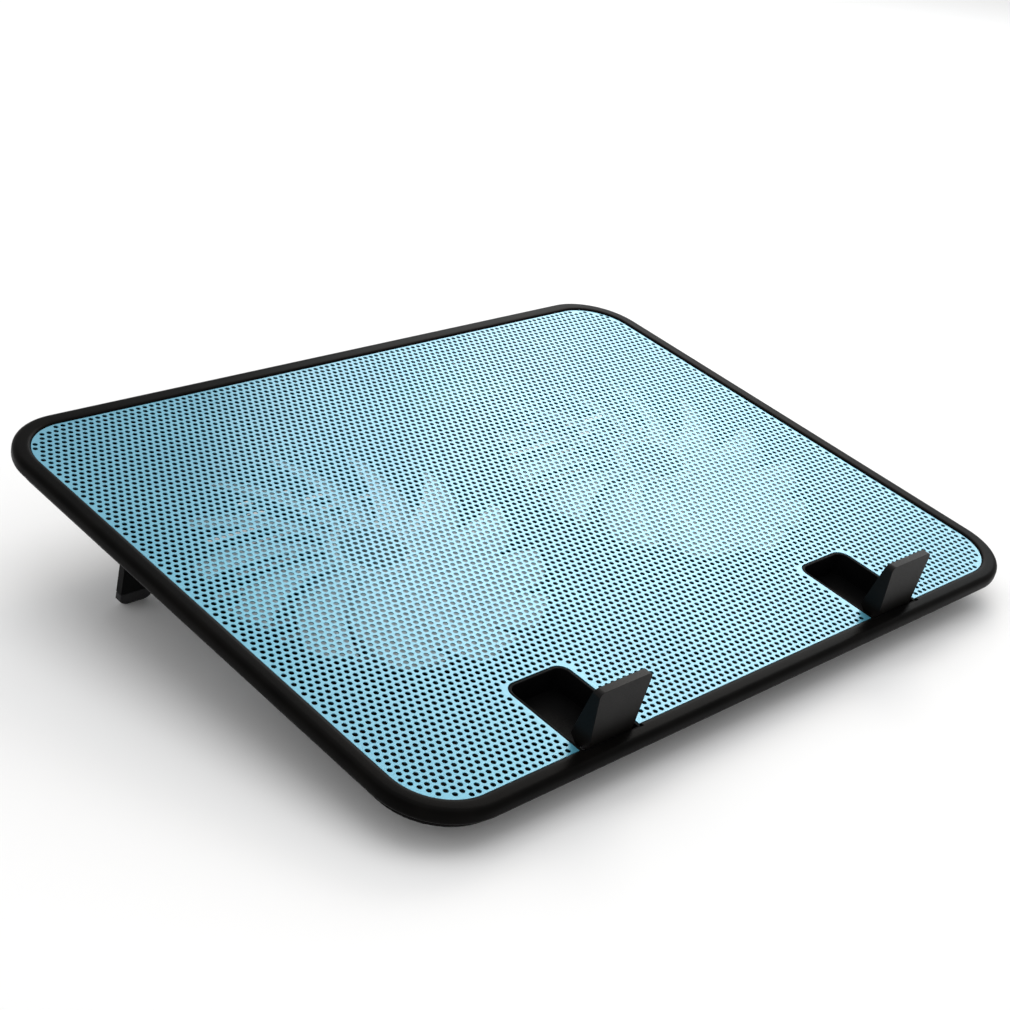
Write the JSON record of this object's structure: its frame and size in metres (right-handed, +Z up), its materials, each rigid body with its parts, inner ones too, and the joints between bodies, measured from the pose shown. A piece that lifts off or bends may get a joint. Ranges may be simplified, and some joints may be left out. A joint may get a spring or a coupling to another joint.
{
  "type": "laptop cooling pad",
  "caption": "Tilted laptop cooling pad: perforated metal top in a black frame, slim fans below it, fold-up front stops and fold-out rear feet.",
  "frame": {"origin": "centre of the bounding box on the surface that the pad stands on, feet out and stops up", "axes": "+X to the user's right along the long side, +Y to the rear, +Z up; the pad itself leans back-up by 10.45 degrees about X"},
  "size_m": [0.348, 0.261, 0.0639],
  "materials": {
    "frame_plastic": "satin moulded plastic",
    "cover_plastic": "fine textured moulded plastic",
    "blue_mesh": "blue anodised perforated sheet",
    "stop_plastic": "satin moulded plastic",
    "foot_plastic": "moulded plastic",
    "rubber": "soft rubber",
    "fan_plastic": "pale moulded fan plastic",
    "label": "plain round sticker",
    "steel": "plated steel",
    "brass": "sintered bearing metal",
    "magnet": "bonded ferrite",
    "stator": "laminated core with enamelled wire",
    "board": "green circuit board",
    "cable": "black insulated wire"
  },
  "bodies": {
    "base": {"top_frame": "frame_plastic", "mesh_panel": "blue_mesh", "bottom_cover": "cover_plastic", "usb_board": "board", "usb_socket_1": "steel", "usb_socket_2": "steel", "stop_well_left": "cover_plastic", "stop_pin_left": "steel", "foot_pin_left": "steel", "rubber_pad_front_left": "rubber", "rubber_pad_rear_left": "rubber", "fan_bearing_left": "brass", "fan_stator_left": "stator", "fan_motor_board_left": "board", "fan_lead_left": "cable", "stop_well_right": "cover_plastic", "stop_pin_right": "steel", "foot_pin_right": "steel", "rubber_pad_front_right": "rubber", "rubber_pad_rear_right": "rubber", "fan_bearing_right": "brass", "fan_stator_right": "stator", "fan_motor_board_right": "board", "fan_lead_right": "cable", "cover_screw_1": "steel", "cover_screw_2": "steel", "cover_screw_3": "steel", "cover_screw_4": "steel", "cover_screw_5": "steel", "cover_screw_6": "steel", "cover_screw_7": "steel", "cover_screw_8": "steel"},
    "left_fan": {"fan_rotor_left": "fan_plastic", "fan_label_left": "label", "fan_magnet_left": "magnet", "fan_shaft_left": "steel"},
    "left_stop": {"stop_left": "stop_plastic"},
    "left_foot": {"foot_left": "foot_plastic", "foot_shoe_left": "rubber"},
    "right_fan": {"fan_rotor_right": "fan_plastic", "fan_label_right": "label", "fan_magnet_right": "magnet", "fan_shaft_right": "steel"},
    "right_stop": {"stop_right": "stop_plastic"},
    "right_foot": {"foot_right": "foot_plastic", "foot_shoe_right": "rubber"}
  },
  "joints": [
    {"name": "left_fan_spin", "type": "hinge", "parent": "base", "child": "left_fan", "pos_m": [-0.082, 0.00593, 0.03255], "axis": [0, -0.1813, 0.9834], "continuous": true},
    {"name": "right_fan_spin", "type": "hinge", "parent": "base", "child": "right_fan", "pos_m": [0.082, 0.00593, 0.03255], "axis": [0, -0.1813, 0.9834], "continuous": true},
    {"name": "left_stop_fold", "type": "hinge", "parent": "base", "child": "left_stop", "pos_m": [-0.085, -0.12075, 0.01427], "axis": [-1, 0, 0], "range_deg": [0, 90]},
    {"name": "right_stop_fold", "type": "hinge", "parent": "base", "child": "right_stop", "pos_m": [0.085, -0.12075, 0.01427], "axis": [-1, 0, 0], "range_deg": [0, 90]},
    {"name": "left_foot_fold", "type": "hinge", "parent": "base", "child": "left_foot", "pos_m": [-0.138, 0.0739, 0.03837], "axis": [-1, 0, 0], "range_deg": [0, 90]},
    {"name": "right_foot_fold", "type": "hinge", "parent": "base", "child": "right_foot", "pos_m": [0.138, 0.0739, 0.03837], "axis": [-1, 0, 0], "range_deg": [0, 90]}
  ]
}
